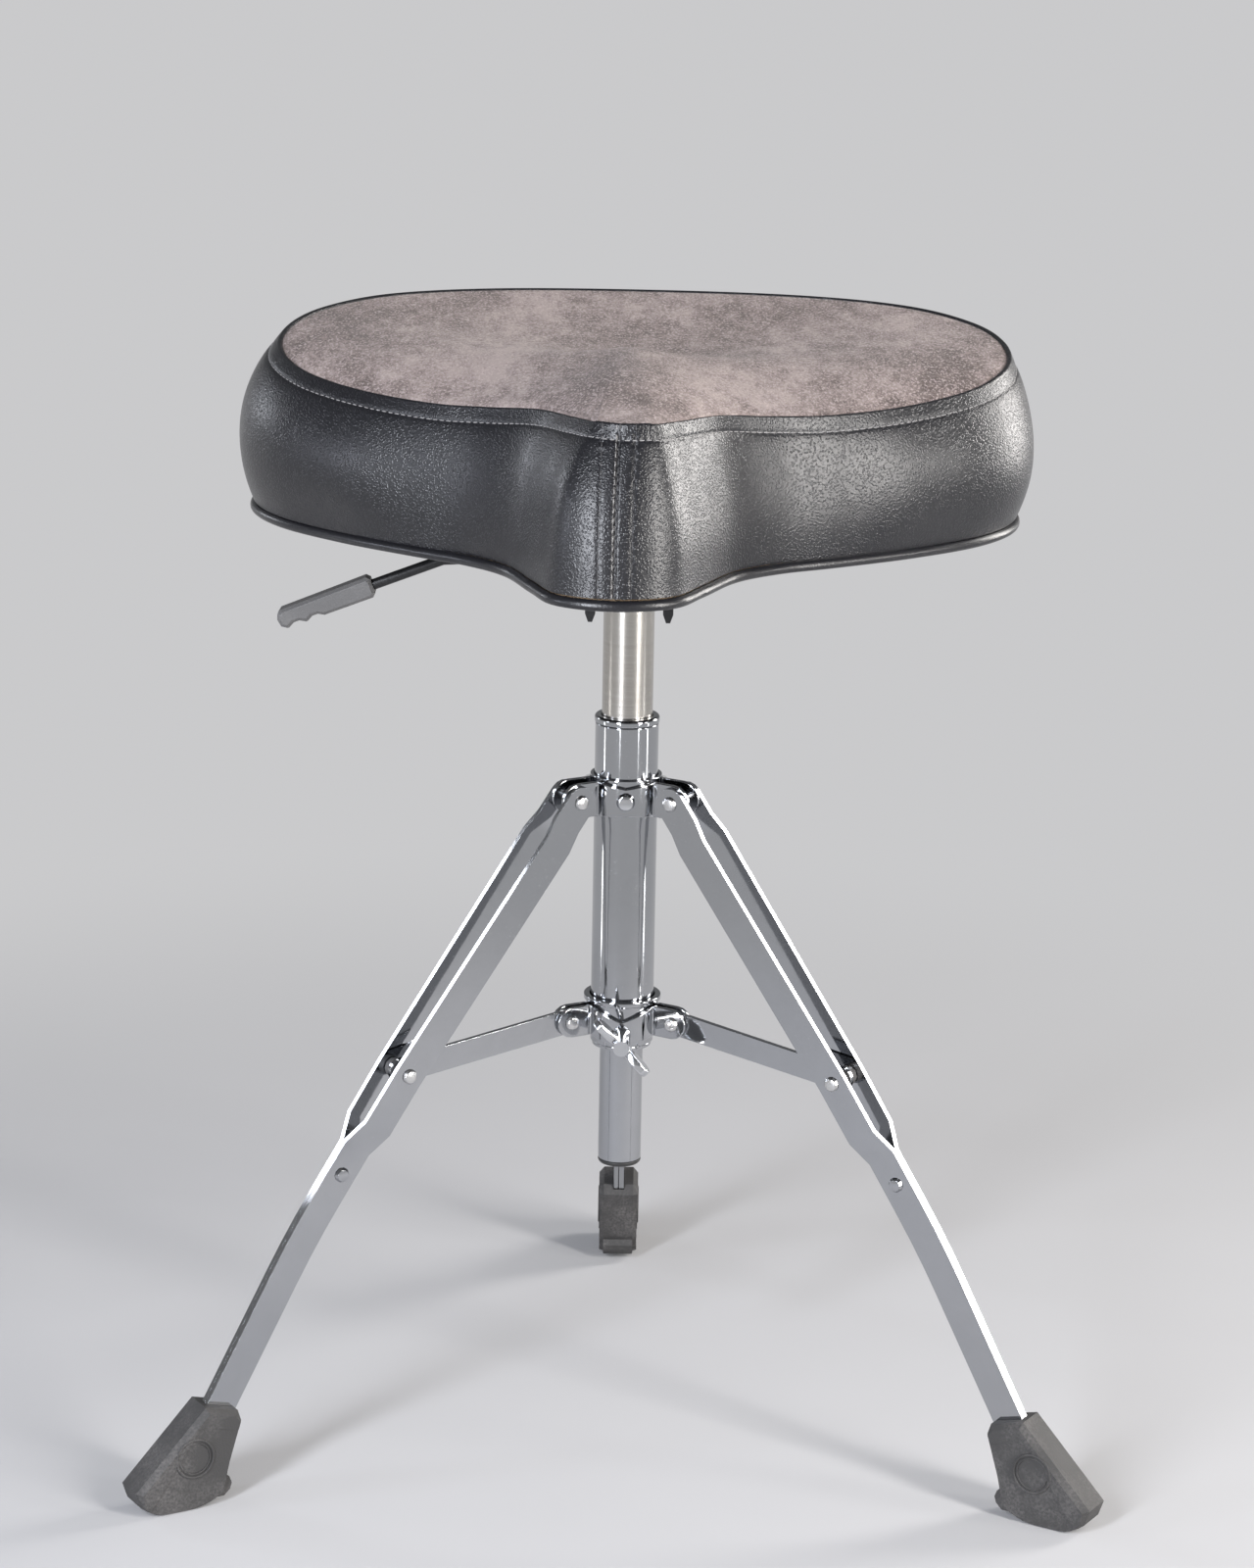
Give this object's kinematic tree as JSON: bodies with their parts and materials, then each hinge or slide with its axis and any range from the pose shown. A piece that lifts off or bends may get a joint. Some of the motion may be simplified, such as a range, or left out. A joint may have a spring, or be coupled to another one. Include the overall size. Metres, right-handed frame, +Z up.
{
  "type": "drum throne",
  "caption": "Saddle-shaped drum throne on a gas-lift column and a folding tripod with double straps, stays and rubber feet.",
  "frame": {"origin": "middle of the footprint's bounding box, on the floor; the column stands 53.6 mm from it towards the nose", "axes": "+Z up along the column; -Y towards the nose of the saddle; one leg points along +Y"},
  "size_m": [0.5322, 0.4969, 0.6223],
  "materials": {
    "black_cloth": "thin black dust-cover cloth",
    "black_metal": "black powder coat",
    "black_plastic": "black moulded plastic",
    "chrome": "mirror-bright chromium plating over steel",
    "foam": "upholstery foam, hidden by its cover",
    "grey_plastic": "black moulded plastic that looks dark grey in the light",
    "leatherette": "black leatherette with a fine grain and a low sheen",
    "plywood": "plain plywood, hidden by the dust cover",
    "rubber": "matt black rubber, a little dusty",
    "satin_steel": "satin-ground steel cylinder of the gas lift",
    "suede": "taupe-grey brushed suede",
    "zinc_steel": "zinc-plated or plain bright steel"
  },
  "bodies": {
    "column": {"column_tube": "chrome", "guide_bush": "chrome", "lower_tube": "chrome", "end_cap": "black_plastic", "upper_collar_bush": "chrome", "upper_plate_front": "chrome", "upper_plate_left": "chrome", "upper_plate_right": "chrome", "upper_screw_front": "chrome", "upper_screw_left": "chrome", "upper_screw_right": "chrome"},
    "swivel": {"piston_rod": "zinc_steel", "thrust_bearing": "zinc_steel"},
    "seat": {"pressure_tube": "satin_steel", "mount_plate": "black_metal", "mount_bolt_1": "zinc_steel", "mount_bolt_2": "zinc_steel", "mount_bolt_3": "zinc_steel", "mount_bolt_4": "zinc_steel", "seat_board": "plywood", "seat_foam": "foam", "side_band": "leatherette", "suede_top": "suede", "piping": "leatherette", "dust_cover": "black_cloth"},
    "button": {"release_button": "zinc_steel"},
    "lever": {"lever_rod": "black_metal", "lever_grip": "grey_plastic"},
    "collar": {"lower_collar_bush": "chrome", "lower_plate_front": "chrome", "lower_plate_left": "chrome", "lower_plate_right": "chrome", "left_stay_rivet": "zinc_steel", "right_stay_rivet": "zinc_steel", "rear_stay_rivet": "zinc_steel"},
    "wing_bolt": {"wing_bolt": "chrome"},
    "left_leg": {"left_leg_strap_1": "chrome", "left_leg_strap_2": "chrome", "left_leg_top_rivet": "zinc_steel", "left_leg_stay_rivet_1": "zinc_steel", "left_leg_stay_rivet_2": "zinc_steel", "left_foot": "rubber"},
    "left_stay": {"left_stay": "chrome", "left_stay_bushes": "grey_plastic"},
    "right_leg": {"right_leg_strap_1": "chrome", "right_leg_strap_2": "chrome", "right_leg_top_rivet": "zinc_steel", "right_leg_stay_rivet_1": "zinc_steel", "right_leg_stay_rivet_2": "zinc_steel", "right_foot": "rubber"},
    "right_stay": {"right_stay": "chrome", "right_stay_bushes": "grey_plastic"},
    "rear_leg": {"rear_leg_strap_1": "chrome", "rear_leg_strap_2": "chrome", "rear_leg_top_rivet": "zinc_steel", "rear_leg_stay_rivet_1": "zinc_steel", "rear_leg_stay_rivet_2": "zinc_steel", "rear_foot": "rubber"},
    "rear_stay": {"rear_stay": "chrome", "rear_stay_bushes": "grey_plastic"}
  },
  "joints": [
    {"name": "seat_swivel", "type": "hinge", "parent": "column", "child": "swivel", "pos_m": [0, -0.05357, 0], "axis": [0, 0, 1], "continuous": true},
    {"name": "seat_height", "type": "slide", "parent": "swivel", "child": "seat", "axis": [0, 0, 1], "range_m": [-0.065, 0]},
    {"name": "release_travel", "type": "slide", "parent": "seat", "child": "button", "axis": [0, 0, 1], "range_m": [-0.00251, 0]},
    {"name": "lever_pull", "type": "hinge", "parent": "seat", "child": "lever", "pos_m": [-0.03, -0.05357, 0.50228], "axis": [0, 1, 0], "range_deg": [0, 4.77], "stiffness_Nm_per_rad": 1.2, "springref_deg": -11.46},
    {"name": "collar_slide", "type": "slide", "parent": "column", "child": "collar", "axis": [0, 0, 1], "range_m": [0, 0.05713]},
    {"name": "wing_bolt_turn", "type": "hinge", "parent": "collar", "child": "wing_bolt", "pos_m": [0, -0.08357, 0.23503], "axis": [0, -1, 0], "range_deg": [0, 360]},
    {"name": "left_leg_fold", "type": "hinge", "parent": "column", "child": "left_leg", "pos_m": [-0.02901, -0.07032, 0.36898], "axis": [0.5, -0.866, 0], "range_deg": [0, 32]},
    {"name": "left_stay_fold", "type": "hinge", "parent": "collar", "child": "left_stay", "pos_m": [-0.02944, -0.07057, 0.24123], "axis": [0.5, -0.866, 0], "range_deg": [0, 75.08]},
    {"name": "right_leg_fold", "type": "hinge", "parent": "column", "child": "right_leg", "pos_m": [0.02901, -0.07032, 0.36898], "axis": [0.5, 0.866, 0], "range_deg": [0, 32]},
    {"name": "right_stay_fold", "type": "hinge", "parent": "collar", "child": "right_stay", "pos_m": [0.02944, -0.07057, 0.24123], "axis": [0.5, 0.866, 0], "range_deg": [0, 75.08]},
    {"name": "rear_leg_fold", "type": "hinge", "parent": "column", "child": "rear_leg", "pos_m": [0, -0.02007, 0.36898], "axis": [-1, 0, 0], "range_deg": [0, 32]},
    {"name": "rear_stay_fold", "type": "hinge", "parent": "collar", "child": "rear_stay", "pos_m": [0, -0.01957, 0.24123], "axis": [-1, 0, 0], "range_deg": [0, 75.08]}
  ],
  "couplings": [
    {"joint": "release_travel", "follows": "lever_pull", "m_per_rad": -0.03},
    {"joint": "collar_slide", "follows": "left_leg_fold", "m_per_rad": 0.10228},
    {"joint": "left_stay_fold", "follows": "left_leg_fold", "ratio": 2.3459},
    {"joint": "right_leg_fold", "follows": "left_leg_fold", "ratio": 1},
    {"joint": "right_stay_fold", "follows": "left_leg_fold", "ratio": 2.3459},
    {"joint": "rear_leg_fold", "follows": "left_leg_fold", "ratio": 1},
    {"joint": "rear_stay_fold", "follows": "left_leg_fold", "ratio": 2.3459}
  ]
}
